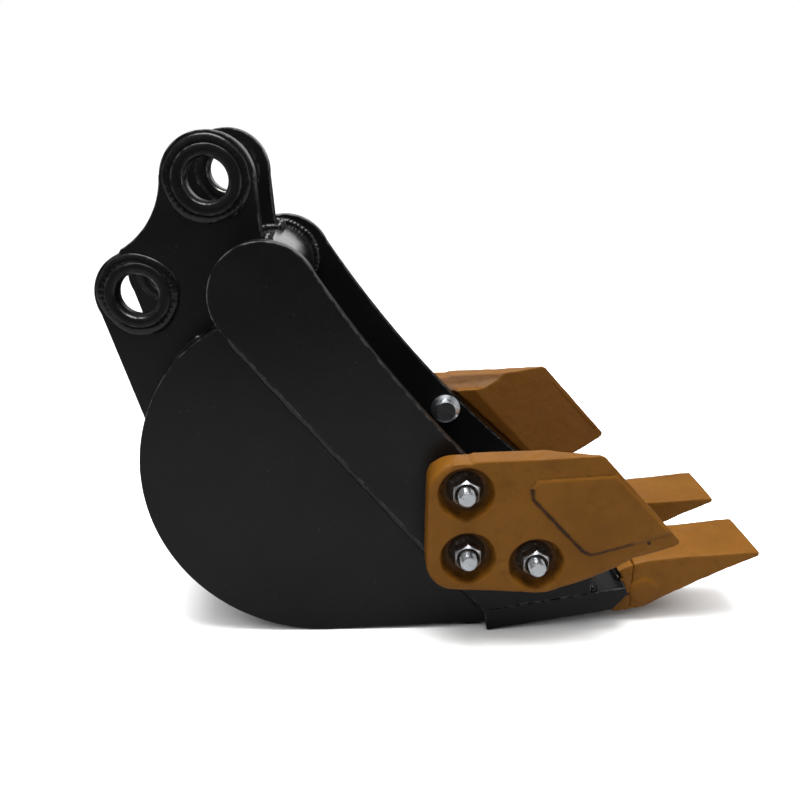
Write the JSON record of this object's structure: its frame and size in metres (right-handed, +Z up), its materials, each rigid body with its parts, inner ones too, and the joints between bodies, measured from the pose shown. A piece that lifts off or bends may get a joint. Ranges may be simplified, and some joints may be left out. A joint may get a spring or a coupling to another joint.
{
  "type": "excavator bucket",
  "caption": "Narrow digging bucket for a mini excavator: welded curved shell, hanger ears with pin bores, pin-on teeth and bolt-on side cutters.",
  "frame": {"origin": "centre of the stick pin bore, midway between the two ears", "axes": "+X forward towards the teeth, +Y along the pins towards the left side, +Z up as the bucket stands on its drum and lip heel"},
  "size_m": [0.4882, 0.238, 0.3663],
  "materials": {
    "black_paint": "semi-gloss black paint on steel plate, worn at the edges",
    "boss_paint": "semi-gloss black paint on turned steel, bright inside the bores",
    "weld_paint": "black paint over rippled weld beads",
    "gold_paint": "ochre gold paint on rough cast steel",
    "zinc": "bright zinc plate on fasteners",
    "pin_steel": "plain steel"
  },
  "bodies": {
    "root": {"cross_tube": "black_paint", "wrapper": "black_paint", "lip_plate": "black_paint", "side_bar_right": "black_paint", "side_bar_left": "black_paint", "cheek_plate_right": "black_paint", "cheek_plate_left": "black_paint", "ear_right": "black_paint", "ear_left": "black_paint", "stick_boss_right": "boss_paint", "stick_boss_left": "boss_paint", "link_boss_right": "boss_paint", "link_boss_left": "boss_paint", "boss_weld_right": "weld_paint", "boss_weld_left": "weld_paint", "tube_weld_right": "weld_paint", "tube_weld_left": "weld_paint", "bar_weld_right": "weld_paint", "bar_weld_left": "weld_paint", "tooth_adapter_right": "gold_paint", "tooth_right": "gold_paint", "tooth_pin_right": "pin_steel", "pin_lock_right": "pin_steel", "side_cutter_right": "gold_paint", "cutter_bolts_right": "zinc", "cutter_nuts_right": "zinc", "tooth_adapter_left": "gold_paint", "tooth_left": "gold_paint", "tooth_pin_left": "pin_steel", "pin_lock_left": "pin_steel", "side_cutter_left": "gold_paint", "cutter_bolts_left": "zinc", "cutter_nuts_left": "zinc"}
  },
  "joints": []
}
